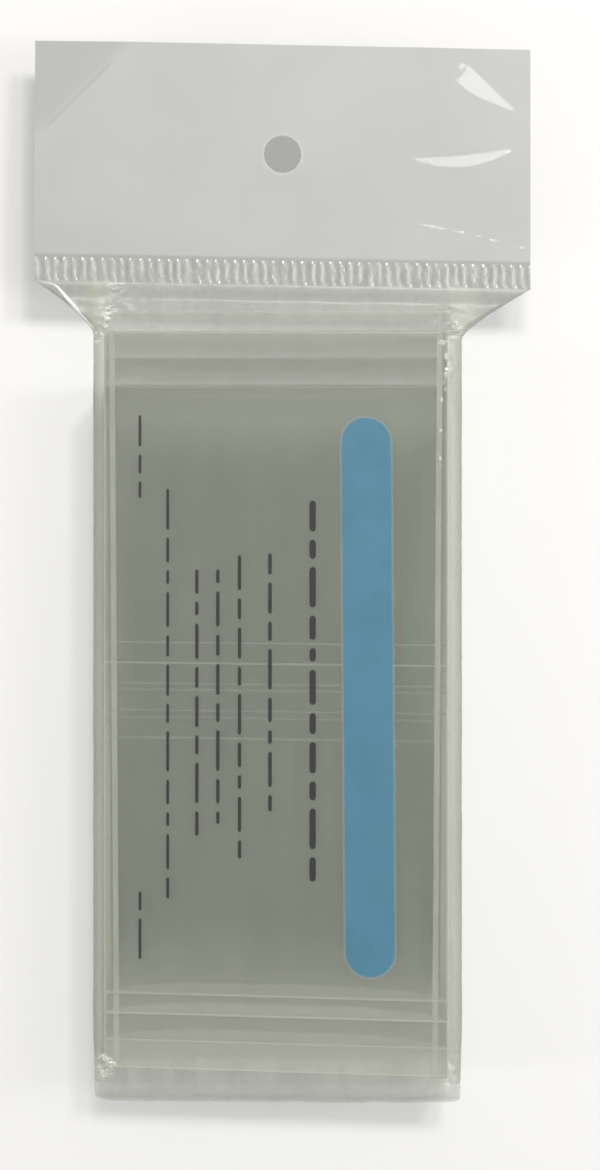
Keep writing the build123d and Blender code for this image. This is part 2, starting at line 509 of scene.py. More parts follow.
def painted_highlights(look, x, y):
    """Where painted highlights whiten the front film: a line on the left shoulder's edge, fine lines in
    crumpled spots, and spots along the right weld.
    """
    leant = y + x * HEADER_FALL
    neck = sizes().neck / MM
    share = ((leant - SEAL_Y / MM) / neck + 1).most(0.0).least(1.0)
    shifted = x + BODY_ASIDE / MM * look.step(SEAL_Y / MM - leant, 0, neck)
    wide = share * (1 - share) * 0.7 + 0.1
    line = 1 - look.step(abs(shifted + highlight_path(share)) - wide, 0, 0.14)
    highlight_mask = line * look.step(share, 0.02, 0.12)
    fine = 1 - look.step(abs(look.grain(0.9, stretch=(4, 1, 1), detail=2) - 0.5), 0.006, 0.03)
    for middle_x, middle_y, reach in CRUMPLE_GLINTS:
        away = (x - middle_x) ** 2 + (y - middle_y) ** 2
        highlight_mask = highlight_mask.most(fine * (1 - look.step(away, 0.3 * reach ** 2, reach ** 2)) * 0.75)
    ragged = (look.grain(0.5, detail=2) - 0.5) * 1.6
    for middle_x, middle_y, half_wide, half_high in WELD_GLINT_SPOTS:
        away = ((x - middle_x) / half_wide) ** 2 + ((y - middle_y) / half_high) ** 2 + ragged
        highlight_mask = highlight_mask.most((1 - look.step(away, 0.0, 1.2)) * 0.5)
    return highlight_mask


def clear_film(name, haze, tint=1.0, wall=0.0, ends=0.0, stretch=DRAWN):
    """Clear film: a thin grey haze, drawn-out streaks, more haze on its walls and towards its ends."""
    look = Finish(name)
    tone = shade(colours().film, tint)
    drawn = look.grain(2.4, stretch=stretch, detail=2)
    base = look.mix(drawn, shade(tone, 0.9), shade(tone, 1.1))
    clear = haze * (0.6 + drawn * 0.8)
    rough = 0.05 + drawn * 0.08
    if wall or ends:
        x, y, _ = look.place()
        edge = look.step(abs(x + BODY_ASIDE / MM), BODY_HALF / MM - 2.4, BODY_HALF / MM - 0.6)
        neck = look.step(y, SEAL_Y / MM - 9, SEAL_Y / MM - 3)
        foot = 1 - look.step(y, FOLD_Y / MM + 2, FOLD_Y / MM + 5)
        clear = clear + edge * wall + (neck * 1.7 + foot * 2.2) * ends * (0.4 + drawn * 1.2)
        rough = rough + edge * 0.15 + edge.most(neck) * 0.25
    if ends:
        shoulder = neck * look.step(abs(x), BODY_HALF / MM + 0.5, BODY_HALF / MM + 3)
        base = look.mix(shoulder, base, shade(colours().seal, 0.88))
        # Painted highlights whiten the film on the left shoulder, in crumpled spots and along the right weld
        highlight_mask = painted_highlights(look, x, y)
        base = look.mix(highlight_mask, base, HIGHLIGHT_WHITE)
        clear = clear.most(highlight_mask)
    look.set(Base_Color=base, Roughness=rough, IOR=2.0, Alpha=clear.least(1.0))
    return look.material


def crimped_film():
    """The welded film of the seal: milky, with sharp glints on its ribs."""
    look = Finish("crimped_film")
    tone = colours().seal
    cloud = look.grain(1.3, stretch=(1, 2, 1), detail=4)
    base = look.mix(cloud, shade(tone, 0.74), shade(tone, 1.16))
    look.set(Base_Color=base, Roughness=0.14 + cloud * 0.24, IOR=1.7, Alpha=0.8 + cloud * 0.2)
    return look.material


def weld_bead():
    """The trim weld along the bag's sides: a glossy milky bead."""
    look = Finish("weld_bead")
    tone = colours().weld
    knots = look.grain(1.1, stretch=(1, 3, 1), detail=3)
    base = look.mix(knots, shade(tone, 0.7), shade(tone, 1.15))
    look.set(Base_Color=base, Roughness=0.12 + knots * 0.15, IOR=1.9, Alpha=0.4 + knots * 0.3)
    return look.material


# How far the side welds spread towards the header, for each step along the flip
WELD_SPLAY = 0.0067

# Haze of the front flips, and more of it at their ends, from the topmost one
FLIP_HAZE = 0.016
FRONT_END_HAZE = (0.035, 0.26, 0.2)


def leant_flip(x, y):
    """Where a point of a leaning flip lay along the pack before it leant, in millimetres."""
    return y + x * (FLIPS_LEAN + y * (FLIPS_GROWTH * MM / PACK_TOP))


def flip_lines(look, low, high):
    """Masks of a flip's side welds, long edges, folded ends, mouths, margins and upper half."""
    x, y, z = look.place()
    half = FLIP_HALF / MM
    inset = (sizes().weld_inset + sizes().weld_width / 2) / MM
    along_edge = abs(x + FLIPS_ASIDE / MM)
    uneven = look.grain(1.2, stretch=(1, 6, 1), detail=2)
    leant = leant_flip(x, y)
    middle = (low + high) / 2
    past_weld = along_edge - (half - inset) - (leant - middle) * WELD_SPLAY
    weld = look.band(past_weld, 0, sizes().weld_width / MM * 0.4, 0.2)
    from_middle = abs(leant - middle)
    past_end = from_middle - (high - low) / 2
    crown = 2.2 - (along_edge / half) ** 4 * 1.6 + (uneven - 0.5) * 0.8
    return SimpleNamespace(
        z=z,
        uneven=uneven,
        leant=leant,
        along_edge=along_edge,
        weld=weld * (0.5 + uneven * 0.7),
        rim=look.band(along_edge, half, 0.12, 0.2),
        end=look.step(past_end + crown, 0, 0.5),
        fold=look.step(past_end, -0.45, -0.15),
        near_end=look.step(past_end, -10, -1),
        mouth=look.band(from_middle, sizes().hinge_strip / MM / 2, 0.08, 0.18),
        margin=look.step(past_weld, 0.4, 0.8),
        upper=look.step(leant, middle - 5, middle + 5),
    )


def flip_film(node, end_haze):
    """One clear flip: a grey-green haze, with pale welds and long edges, and painted highlights on its folded
    ends and pocket mouths.
    """
    low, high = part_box(node)
    look = Finish(f"{node}_film")
    on = flip_lines(look, low.y / MM, high.y / MM)
    # Pale welds and long edges, with painted highlights on the folded ends and pocket mouths
    pale = (on.weld * 0.9).most(on.rim * 0.7).most(on.end * 0.45).most(on.fold).most(on.mouth * 0.7)
    tip = look.mix(on.upper, colours().flip_end, colours().flip_top)
    base = look.mix(on.near_end.most(on.margin), colours().flip, tip)
    base = look.mix(pale, base, colours().weld)
    lines = on.weld * 0.12 + on.rim * 0.12 + on.end * 0.09 + on.fold * 0.16 + on.mouth * 0.08
    solid = FLIP_HAZE + on.near_end * end_haze + lines
    rough = 0.1 + on.uneven * 0.12 + on.fold * 0.5
    look.set(Base_Color=base, Roughness=rough, IOR=1.7, Alpha=solid.least(1.0))
    return look.material


def flip_block():
    """The stacked flips: many clear sheets that together look solid, paler where light gets in."""
    low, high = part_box(FLIP_NODES[FRONT_FLIPS])
    look = Finish("flip_block")
    on = flip_lines(look, low.y / MM, high.y / MM)
    cloud = look.grain(13, stretch=(1.4, 1, 1), detail=3)
    lines = look.grain(0.55, stretch=(40, 1, 1), detail=4)
    layer = look.grain(0.5, stretch=(60, 60, 1), detail=3)
    bundle = look.grain(1.3, stretch=(30, 30, 1), detail=2)
    top_light = look.step(on.leant, high.y / MM - 14, high.y / MM + 1)
    low_light = 1 - look.step(on.leant, low.y / MM - 1, low.y / MM + 25)
    beside = look.step(on.along_edge, 20, 24) * on.upper * 0.3
    light = top_light.most(low_light).most(on.margin * (0.85 + on.upper * 0.15)).most(beside)
    tone = colours().stack
    base = look.mix(cloud, shade(tone, 0.92), shade(tone, 1.1))
    tip = look.mix(on.upper, colours().stack_end, colours().stack_top)
    base = look.mix(light, base, tip)
    base = look.mix((lines - 0.5) * 0.35 * (0.25 + light), base, shade(colours().stack_end, 1.2))
    # Pale welds and long edges, with painted highlights on the folded ends and pocket mouths
    pale = (on.weld * 0.6).most(on.rim * 0.3).most(on.end * 0.2).most(on.fold * 0.6).most(on.mouth * 0.2)
    base = look.mix(pale, base, colours().weld)
    wall = look.step(on.along_edge, FLIP_HALF / MM - 0.1, FLIP_HALF / MM - 0.02).most(on.fold)
    front = look.step(on.z, high.z / MM - 0.4, high.z / MM - 0.2)
    base = look.mix(wall * look.step(layer, 0.35, 0.65).most(front), base, shade(colours().weld, 1.1))
    base = look.mix(wall * look.step(bundle, 0.5, 0.7) * (1 - front) * 0.6, base, shade(colours().stack, 0.8))
    look.set(Base_Color=base, Roughness=0.3 + cloud * 0.15, IOR=1.5)
    return look.material


def print_ink(name, tone, worn, cover=1.0):
    """Flat ink on film, with slight wear and mottling."""
    look = Finish(name)
    cloud = look.grain(6, detail=4)
    fleck = look.grain(0.5, detail=3)
    base = look.mix(cloud, shade(tone, 0.85), shade(tone, 1.18))
    look.set(Base_Color=base, Roughness=0.3 + fleck * 0.2, Alpha=cover - worn * look.step(fleck, 0.6, 0.75))
    return look.material


def tacky_strip():
    look = Finish("tacky_strip")
    grain = look.grain(1.0, detail=4)
    base = look.mix(grain, linear(206, 208, 200), linear(228, 229, 222))
    look.set(Base_Color=base, Roughness=0.35 + grain * 0.3, Alpha=0.35 + grain * 0.25)
    look.set(Normal=look.bump(grain, 0.3, 0.05 * MM))
    return look.material


# Shape of the filled bag

def neck_share(y):
    """0 in the body of the bag, 1 at the seal."""
    return clamp((y - SEAL_Y + sizes().neck) / sizes().neck)


# Shoulders: how they widen, how far inside the header they end, and how they meet the seal
NECK_CURVE = 1.3
NECK_INSET = 0.3 * MM
NECK_CORNER = 0.15 * MM
SEAL_LAP = 0.2 * MM

# How far the sides bulge, and how soon
BULGE = 0.2 * MM
BULGE_RUN = 8 * MM


def bag_half(y):
    """Half width of the bag: its sides bulge a little, and its shoulders widen to the header."""
    bulge = BULGE * ease((y - FOLD_Y) / BULGE_RUN) * (1 - neck_share(y))
    return blend(BODY_HALF, HEADER_HALF - NECK_INSET, neck_share(y) ** NECK_CURVE) + bulge


def bag_seam(y):
    return blend(SEAM_Z, HEADER_Z, ease(neck_share(y)))


def bag_front(y, shift=0.0):
    """Height of the front film. A shift moves its fall to the seal up or down the pack."""
    share = (y + shift - SEAL_Y + sizes().crest) / sizes().crest
    return blend(FRONT_Z, HEADER_Z + sizes().neck_depth, ease(share))


def bag_back(y):
    return blend(BACK_Z, HEADER_Z - sizes().neck_depth, ease(neck_share(y)))


def bag_corner(y):
    return blend(sizes().body_corner, NECK_CORNER, neck_share(y) ** 0.5)


# Shares of a cross section's points: flat up to the first, round the corner up to the second
FLAT_SHARE = 0.62
CORNER_SHARE = 0.84


def channel_point(u, half, seam, crown, corner):
    """A point of a bag half's cross section, from one seam over the crown to the other."""
    way = math.copysign(1, crown - seam)
    side = math.copysign(1, u)
    share = abs(u)
    if share <= FLAT_SHARE:
        return side * (half - corner) * share / FLAT_SHARE, crown
    if share <= CORNER_SHARE:
        turn = (share - FLAT_SHARE) / (CORNER_SHARE - FLAT_SHARE) * math.pi / 2
        return side * (half - corner + corner * math.sin(turn)), crown - way * corner * (1 - math.cos(turn))
    start = crown - way * corner
    return side * half, blend(start, seam, (share - CORNER_SHARE) / (1 - CORNER_SHARE))


# Crinkles of the film: middle across and along, reach across and along, height, grain, in millimetres
CRINKLES = (
    (-24.6, 40.6, 3.0, 2.6, 0.5, 1.0),
    (-26.2, 35.6, 1.6, 2.0, 0.6, 0.8),
    (-30.5, 39.5, 2.5, 2.0, 0.4, 1.4),
    (25.2, 37.6, 1.6, 3.2, 0.8, 0.9),
    (25.3, 30.6, 0.8, 4.6, 0.6, 0.9),
    (31.0, 40.0, 2.6, 2.0, 0.4, 1.4),
    (-25.8, -72.5, 2.2, 2.4, 0.7, 1.0),
    (25.8, -72.8, 1.6, 2.0, 0.5, 1.0),
)
DEEPEST_CRINKLE = 0.1 * MM

# The front film's waves: slow ones, short ones drawn out along the pack, and a fret just below the seal
FILM_OFF = 0.085 * MM
SLOW_WAVE = (0.05 * MM, 16 * MM, 3.1)
SHORT_WAVE = (0.035 * MM, 4.5 * MM, 5.3)
SEAL_FRET = (0.07 * MM, 1.1 * MM, 4.8)
FRET_BELOW = 0.4 * MM
FRET_REACH = 0.6 * MM

# The ridge under the painted highlight line
RIDGE = 0.25 * MM
RIDGE_WIDTH = 0.4 * MM


def film_lift(x, y):
    """How far the front film stands off its drawn shape: waves, crinkles and a ridge."""
    slow = FILM_OFF + wobble(x, y, SLOW_WAVE) + wobble(x, y / 2, SHORT_WAVE)
    slow += wobble(x, y, SEAL_FRET) * hump(y - SEAL_Y + FRET_BELOW, FRET_REACH)
    sharp = 0.0
    for middle_x, middle_y, reach_x, reach_y, height, grain in CRINKLES:
        near = hump(math.hypot((x / MM - middle_x) / reach_x, (y / MM - middle_y) / reach_y), 1.0)
        if near > 0.01:
            sharp += near * height * MM * (0.25 + ripple(x, y, grain * MM, middle_y))
    ridge = RIDGE * hump(x + highlight_path(neck_share(y)) * MM, RIDGE_WIDTH) * ease(neck_share(y) / 0.2)
    return slow + max(sharp, -DEEPEST_CRINKLE) + ridge


# Rows of the front film, closer at the bottom end and at the neck: share of the rows, and place
FRONT_ROWS = (
    (0.0, FOLD_Y),
    (0.15, FOLD_Y + 8 * MM),
    (0.4, SEAL_Y - 22 * MM),
    (1.0, SEAL_Y + SEAL_LAP),
)

# Puckers where the front film falls to the seal: small in the middle, larger at the shoulders
PUCKER_MIDDLE = 0.12 * MM
PUCKER_SHOULDER = 0.55 * MM
PUCKER_GRAIN = 3.6 * MM
SHOULDER_START = 16 * MM
SHOULDER_RUN = 9 * MM

# Buckles of the side walls, which fade before the seam, and where the back's wall starts
FRONT_BUCKLE = (0.25 * MM, 5 * MM, 8.4)
BACK_BUCKLE = (0.2 * MM, 6 * MM, 2.7)
BUCKLE_FADE = 0.9
BACK_WALL = 0.7
BACK_WALL_RUN = 0.15


def front_row(v):
    """Where a row of the front film lies along the pack."""
    share = clamp((v + 1) / 2)
    stretches = zip(FRONT_ROWS, FRONT_ROWS[1:])
    (start, low), (end, high) = next(pair for pair in stretches if share <= pair[1][0])
    return blend(low, high, (share - start) / (end - start))


def off_seam(u):
    """1 over most of a side wall, falling to 0 at the seam."""
    return 1 - ease((abs(u) - BUCKLE_FADE) / (1 - BUCKLE_FADE))


def front_point(u, v):
    y = front_row(v)
    half = bag_half(y)
    to_shoulder = ease((abs(u * half) - SHOULDER_START) / SHOULDER_RUN)
    pucker = blend(PUCKER_MIDDLE, PUCKER_SHOULDER, to_shoulder) * ripple(u * half, y, PUCKER_GRAIN, 6.6)
    front = bag_front(y, pucker * (1 - neck_share(y) ** 12))
    x, z = channel_point(u, half, bag_seam(y), front, bag_corner(y))
    wall = ease((abs(u) - FLAT_SHARE) / (CORNER_SHARE - FLAT_SHARE))
    lift = film_lift(x, y) * (1 - 0.6 * neck_share(y) ** 4)
    buckle = wobble(y, z, FRONT_BUCKLE) * wall * off_seam(u)
    return x + math.copysign(1, u) * buckle, y, z + lift * (1 - wall)


def bend_at_neck(piece):
    """Bakes a bag piece's placement into its points."""
    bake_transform(piece)


def make_front_film():
    piece = grid_piece("front_film_skin", (170, 230), front_point)
    thicken(piece, sizes().film)
    finish_piece(piece, clear_film("front_film_clear", 0.07, wall=0.3, ends=0.1))
    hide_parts("front_film")
    bend_at_neck(piece)


def back_point(u, v):
    y = blend(FOLD_Y, SEAL_Y + SEAL_LAP, (v + 1) / 2)
    x, z = channel_point(-u, bag_half(y), bag_seam(y), bag_back(y), bag_corner(y))
    wall = ease((abs(u) - BACK_WALL) / BACK_WALL_RUN)
    return x - math.copysign(1, u) * wobble(y, z, BACK_BUCKLE) * wall * off_seam(u), y, z


def make_back_film():
    piece = grid_piece("back_film_skin", (110, 130), back_point)
    thicken(piece, sizes().film)
    finish_piece(piece, clear_film("back_film_clear", 0.18, wall=0.3))
    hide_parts("back_film")
    bend_at_neck(piece)


# Trim welds along the sides

BEAD_OUT = 0.16 * MM
BEAD_TALL = 0.26 * MM
BEAD_OFFSET = 0.4 * BEAD_OUT
BEAD_SWELL = 0.25
BEAD_GRAIN = 1.4 * MM


def bead_piece(name, side):
    def place(u, v):
        y = blend(FOLD_Y, SEAL_Y + SEAL_LAP, (v + 1) / 2)
        turn = -side * u * math.pi
        swell = 1 + BEAD_SWELL * ripple(y, 0, BEAD_GRAIN, 5.0 + side)
        x = side * (bag_half(y) + BEAD_OFFSET) + BEAD_OUT * swell * math.cos(turn)
        return x, y, bag_seam(y) + BEAD_TALL * swell * math.sin(turn)
    piece = grid_piece(name, (10, 150), place)
    merge_points(piece, 0.005 * MM)
    close_ends(piece)
    return piece


def make_side_welds():
    piece = join_pieces([bead_piece("left_bead", -1), bead_piece("right_bead", 1)], "side_weld_beads")
    finish_piece(piece, weld_bead())
    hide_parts("side_welds")
    bend_at_neck(piece)


# Closed bottom end

# Roundness of the end seen from the front and from the side: the higher, the squarer
PILLOW = 14.0
END_SQUARE = 3.2

END_DENT = (0.35 * MM, 5 * MM, 4.4)
LIP_ROUND = 1.6 * MM
STRIP_RAGGED = 0.12 * MM


def end_depth(x):
    """How far the rounded end reaches down the pack, less near its corners."""
    return (FOLD_Y - END_Y) * max(0.0, 1 - abs(x / BODY_HALF) ** PILLOW) ** (1 / PILLOW)


def end_point(u, v):
    side = math.copysign(1, u)
    x = side * BODY_HALF * math.sin(abs(u) * math.pi / 2)
    turn = v * math.pi / 2
    depth = end_depth(x)
    half_height = FRONT_Z / 2
    out = abs(math.cos(turn)) ** (2 / END_SQUARE) * depth
    rise = math.copysign(abs(math.sin(turn)) ** (2 / END_SQUARE), v) * half_height
    dent = wobble(x, rise, END_DENT) * math.cos(turn) ** 2
    return x, FOLD_Y - out + max(dent, 0) * depth / (FOLD_Y - END_Y), half_height + rise


def make_bottom_panel():
    piece = grid_piece("bottom_end_film", (120, 48), end_point)
    merge_points(piece, 0.004 * MM)
    thicken(piece, sizes().film)
    finish_piece(piece, clear_film("end_film_clear", 0.28, tint=1.14))
    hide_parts("bottom_panel")
    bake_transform(piece)


def lip_point(u, v):
    y = blend(FOLD_Y, LIP_HIGH.y, (v + 1) / 2)
    near_end = clamp((y - LIP_HIGH.y + LIP_ROUND) / LIP_ROUND)
    half = LIP_HIGH.x - LIP_ROUND * (1 - math.sqrt(1 - near_end ** 2))
    return -u * half, y, 0.0


def make_flap_lip():
    piece = grid_piece("flap_lip_film", (60, 40), lip_point)
    thicken(piece, sizes().film)
    finish_piece(piece, clear_film("lip_film_clear", 0.12))
    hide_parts("flap_lip")
    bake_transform(piece)


def strip_point(u, v):
    ragged = STRIP_RAGGED * ripple(v, 0, 0.07, 6.1 + math.copysign(2, u)) * abs(u) ** 8
    x = u * STRIP_HIGH.x + ragged
    return x, blend(STRIP_LOW.y, STRIP_HIGH.y, (v + 1) / 2), STRIP_HIGH.z


def make_adhesive_strip():
    piece = grid_piece("adhesive_film", (60, 12), strip_point)
    thicken(piece, STRIP_HIGH.z - STRIP_LOW.z)
    apply_modifier(piece, "BEVEL", width=0.03 * MM, segments=2, limit_method="ANGLE")
    finish_piece(piece, tacky_strip())
    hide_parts("adhesive_strip")
    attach(piece, "lip")


# Header

# Dents in the header's clear film, in millimetres: where the straight edge starts and ends, how far it sags
# between, how wide the sloping side is at each end, how much wider between, and the fade beyond each end
HEADER_DENTS = (
    ((27.9, 75.8), (35.3, 68.9), 0.0, 3.2, 0.3, 0.35, 2.4, 0.5),
    ((18.7, 62.2), (34.3, 63.9), -0.3, 0.3, 0.3, 6.0, 0.7, 0.7),
    ((20.2, 52.6), (36.2, 49.2), 0.2, 0.6, 0.6, 0.1, 0.3, 0.3),
)

# How steeply a dent rises, and how far it takes to fall away, in widths and at most in millimetres
DENT_SLOPE = 0.172
TAIL_WIDTHS = 8
DENT_TAIL = 9.0

# Dents narrower than this, in millimetres, glint unevenly
FINE_DENT = 0.7
FINE_GLINT = (0.6, 0.9 * MM, 9.2)

LAYER_AIR = 0.02 * MM

# The header's upper left corner is bent down a little past this line
BEND_START = (-34.6, 66.1)
BEND_SLOPE = 0.13

# Where painted shade marks that line's crease: middle and half reach across, in millimetres
BEND_CREASE_SHADE = (-30.2, 4.0)

# The header's slow bow, which fades towards the seal
HEADER_BOW = (0.25 * MM, 26 * MM, 1.7)
BOW_FADE = 6 * MM


def bend_distance(x, y):
    """How far a point of the header lies past its bent corner's line, in millimetres, as are x and y."""
    return ((y - BEND_START[1]) - (x - BEND_START[0])) / math.sqrt(2)


def header_wave(x, y):
    """The header's slow bow and its bent corner."""
    fade = ease((y - HEADER_Y) / BOW_FADE)
    past = bend_distance(x / MM, y / MM)
    return fade * wobble(x, y, HEADER_BOW) - BEND_SLOPE * MM * max(0.0, past)


def header_dent(x, y):
    """Extra lift of the clear film: each dent rises evenly from a straight edge, then falls away slowly."""
    lift = 0.0
    for start, end, sag, wide_start, wide_end, belly, fade_start, fade_end in HEADER_DENTS:
        run_x, run_y = end[0] - start[0], end[1] - start[1]
        run = math.hypot(run_x, run_y)
        along = ((x / MM - start[0]) * run_x + (y / MM - start[1]) * run_y) / run
        share = clamp(along / run)
        bow = 4 * share * (1 - share)
        inside = ((x / MM - start[0]) * run_y - (y / MM - start[1]) * run_x) / run + sag * bow
        wide = blend(wide_start, wide_end, share) * (1 + belly * bow)
        rise = clamp(inside, 0, wide)
        tail = 1 - ease((inside - wide) / min(DENT_TAIL, TAIL_WIDTHS * wide))
        fade = (1 - ease(-along / fade_start)) * (1 - ease((along - run) / fade_end))
        glint = 1 + wobble(x, y, FINE_GLINT) if wide < FINE_DENT else 1
        lift += DENT_SLOPE * MM * rise * tail * fade * glint
    return lift


def header_piece(name, top_z, thickness, cells=(150, 70), dented=False):
    """A sheet of the header with its hang hole."""
    def place(u, v):
        x = u * HEADER_HALF
        y = blend(HEADER_Y, PACK_TOP, (v + 1) / 2)
        lift = header_dent(x, y) if dented else 0.0
        return x, y, top_z + header_wave(x, y) + lift
    piece = grid_piece(name, cells, place)
    thicken(piece, thickness)
    punch_hole(piece)
    return piece


def punch_hole(piece):
    """Cuts the round hang hole through a sheet."""
    clear_selection()
    bpy.ops.mesh.primitive_cylinder_add(
        vertices=72, radius=HOLE_RADIUS, depth=12 * MM, location=(0, HOLE_Y, HEADER_Z))
    cutter = bpy.context.object
    apply_modifier(piece, "BOOLEAN", operation="DIFFERENCE", object=cutter, solver="EXACT")
    activate(cutter)
    bpy.ops.object.delete()


def make_header():
    film = sizes().film
    sheet = sizes().white_sheet
    top = HEADER_Z + sheet / 2
    white = header_piece("header_white", top, sheet)
    finish_piece(white, white_header_film(), casts_shadow=True)
    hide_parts("header_white_sheet")
    front = header_piece("header_front_clear", top + film + LAYER_AIR, film, cells=(290, 130), dented=True)
    finish_piece(front, clear_film("header_clear", 0.023, stretch=EVEN))
    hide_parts("header_front_film")
    back = header_piece("header_back_clear", top - sheet - LAYER_AIR, film)
    finish_piece(back, clear_film("header_back_film_clear", 0.06, stretch=EVEN))
    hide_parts("header_back_film")
    for piece in (white, front, back):
        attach(piece, "header")


# Crimp seal

SEAL_FILM = 0.22 * MM
CELLS_PER_RIB = 10

# Slow and fine waves of the ribs: their drift, as a share of their spacing, and their height
RIB_DRIFT = ((0.22, 3.2 * MM, 2.2), (0.1, 1.6 * MM, 6.4))
RIB_RISE = ((0.4, 1.8 * MM, 7.7), (0.5, 0.8 * MM, 3.9))
MEAN_RISE = 0.75

# How the ribs fade at the seal's lower and upper edges, as shares of its width, and what stays
LOWER_FADE = 0.22
UPPER_FADE = 0.12
FADED_RISE = 0.1


def seal_point(u, v):
    x = u * HEADER_HALF
    share = (v + 1) / 2
    y = blend(SEAL_Y, HEADER_Y, share)
    pitch = 2 * HEADER_HALF / sizes().rib_count
    drift = pitch * (wobble(x, 0, RIB_DRIFT[0]) + wobble(x, y, RIB_DRIFT[1]))
    wave = math.cos(2 * math.pi * (x + drift) / pitch)
    pressed = ease(share / LOWER_FADE) * ease((1 - share) / UPPER_FADE)
    rise = MEAN_RISE + wobble(x, y, RIB_RISE[0]) + wobble(x, y, RIB_RISE[1])
    height = sizes().rib_height * blend(FADED_RISE, 1, pressed) * rise
    return x, y, HEADER_Z + SEAL_FILM / 2 + height * wave


def make_seal():
    piece = grid_piece("crimp_seal", (sizes().rib_count * CELLS_PER_RIB, 16), seal_point)
    thicken(piece, SEAL_FILM)
    finish_piece(piece, crimped_film(), smooth_angle=60, casts_shadow=True)
    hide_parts("header_seal")
    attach(piece, "header")


# Flips

# Shares of a flip's points, from either mouth: along the pocket, and then round the end
FACE_SHARE = 0.36
FOLD_SHARE = 0.4
WELD_PRESS = 0.05 * MM


def flip_path(share, low, high):
    """A point of a flip's folded strip, seen from the side: mouth, end, back, other end, mouth."""
    radius = (high.z - low.z) / 2
    middle = (low.y + high.y) / 2
    reach = (high.y - low.y) / 2 - radius
    near = min(share, 1 - share)
    if near <= FACE_SHARE:
        out, z = blend(sizes().hinge_strip / 2, reach, near / FACE_SHARE), high.z
    elif near <= FOLD_SHARE:
        turn = (near - FACE_SHARE) / (FOLD_SHARE - FACE_SHARE) * math.pi
        out, z = reach + radius * math.sin(turn), low.z + radius + radius * math.cos(turn)
    else:
        out, z = blend(reach, 0, (near - FOLD_SHARE) / (0.5 - FOLD_SHARE)), low.z
    return middle + math.copysign(out, share - 0.5), z


def flip_piece(name, node, cells):
    """One flip: a folded strip, pressed thin along its side welds."""
    low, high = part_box(node)
    half = high.x
    middle = (low.y + high.y) / 2
    weld = half - sizes().weld_inset - sizes().weld_width / 2

    def place(u, v):
        x = -half * (1.5 * u - 0.5 * u ** 3)
        y, z = flip_path((v + 1) / 2, low, high)
        pressed = hump(abs(x) - weld - WELD_SPLAY * (y - middle), sizes().weld_width / 2)
        toward_back = clamp((z - low.z) / (high.z - low.z))
        return x, y, z - WELD_PRESS * pressed * toward_back
    piece = grid_piece(name, cells, place)
    thicken(piece, sizes().flip_sheet)
    return piece


def make_front_flips():
    for node, end_haze in zip(FLIP_NODES, FRONT_END_HAZE):
        piece = flip_piece(f"{node}_sheet", node, (48, 100))
        finish_piece(piece, flip_film(node, end_haze), lie=FLIPS_LIE)
        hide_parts(node)
        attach(piece, node)


def make_flip_stack():
    stacked = FLIP_NODES[FRONT_FLIPS:]
    flips = [flip_piece("stack_flip", node, (16, 50)) for node in stacked]
    piece = join_pieces(flips, "flip_stack_sheets")
    finish_piece(piece, flip_block(), lie=FLIPS_LIE, casts_shadow=True)
    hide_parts(*stacked)
    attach(piece, "flip_stack")


# Print on the front film

BAR_X = 13.4 * MM
BAR_Y = -18.0 * MM
BAR_TILT = 0.0078
INK_LIFT = 0.03 * MM
INK_FILM = 0.012 * MM
# Lift and reach of the bar's painted reflection
REFLECTION_LIFT = 0.014 * MM
REFLECTION_EDGE = 0.4 * MM

# Plain rules beside the bar: place across, start and end along, width, in millimetres
RULES = (
    (-20.3, 23.2, 11.0, 0.4),
    (-20.3, -47.0, -58.0, 0.4),
    (-16.2, 12.4, -48.8, 0.42),
    (-11.9, 0.6, -39.8, 0.5),
    (-8.8, 0.6, -36.9, 0.5),
    (-5.6, 2.8, -42.0, 0.5),
    (-1.1, 3.1, -35.0, 0.55),
    (5.2, 11.0, -47.5, 0.95),
)
DASH_LENGTHS = (4.6, 2.8, 6.0, 3.6, 2.0, 5.2, 3.1)
DASH_GAP = 1.2
SHORTEST_DASH = 1.5


def stamp(name, middle_x, middle_y, half_width, half_length, cells=(4, 12), lift=INK_LIFT, tilt=0.0):
    """A flat printed mark with round ends, lying on the film."""
    def place(u, v):
        along = half_length * math.sin(v * math.pi / 2)
        into_end = max(0.0, abs(along) - half_length + half_width)
        across = u * math.sqrt(max(half_width ** 2 - into_end ** 2, 0)) - tilt * along
        x, y = middle_x + across, middle_y + along
        return x, y, bag_front(y) + film_lift(x, y) + lift
    piece = grid_piece(name, cells, place)
    merge_points(piece, 0.002 * MM)
    thicken(piece, INK_FILM)
    return piece


def make_bar(name, edge, lift, ink):
    """The printed bar, or the painted reflection of it that stands out round it by an edge."""
    half_width, half_length = sizes().bar_width / 2 + edge, sizes().bar_length / 2 + edge
    bar = stamp(name, BAR_X, BAR_Y, half_width, half_length, (16, 120), lift, BAR_TILT)
    finish_piece(bar, ink)
    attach(bar, "bag")


def make_rules():
    """Rows of plain dashes beside the bar."""
    dashes = []
    for row, (x, start, end, width) in enumerate(RULES):
        place = start
        turn = row
        while place > end:
            dash = min(DASH_LENGTHS[turn % len(DASH_LENGTHS)], place - end)
            middle = place - dash / 2
            if dash > SHORTEST_DASH:
                dashes.append(stamp("dash", x * MM, middle * MM, width * MM / 2, dash * MM / 2))
            place -= dash + DASH_GAP
            turn += 1
    rules = join_pieces(dashes, "print_rules")
    finish_piece(rules, print_ink("rule_ink", colours().ink, 0.2))
    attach(rules, "bag")


def make_print():
    make_bar("print_bar", 0.0, INK_LIFT, print_ink("bar_ink", colours().bar, 0.1))
    # A pale painted reflection of the bar, standing out round it
    reflection_ink = print_ink("reflection_ink", colours().bar_reflection, 0.15, 0.2)
    make_bar("print_bar_reflection", REFLECTION_EDGE, REFLECTION_LIFT, reflection_ink)
    make_rules()


# Stage

# How much of the floor is plain white to the camera, the rest keeps the shadow
FLOOR_WHITE = 0.22
WORLD_LEVEL = 0.45

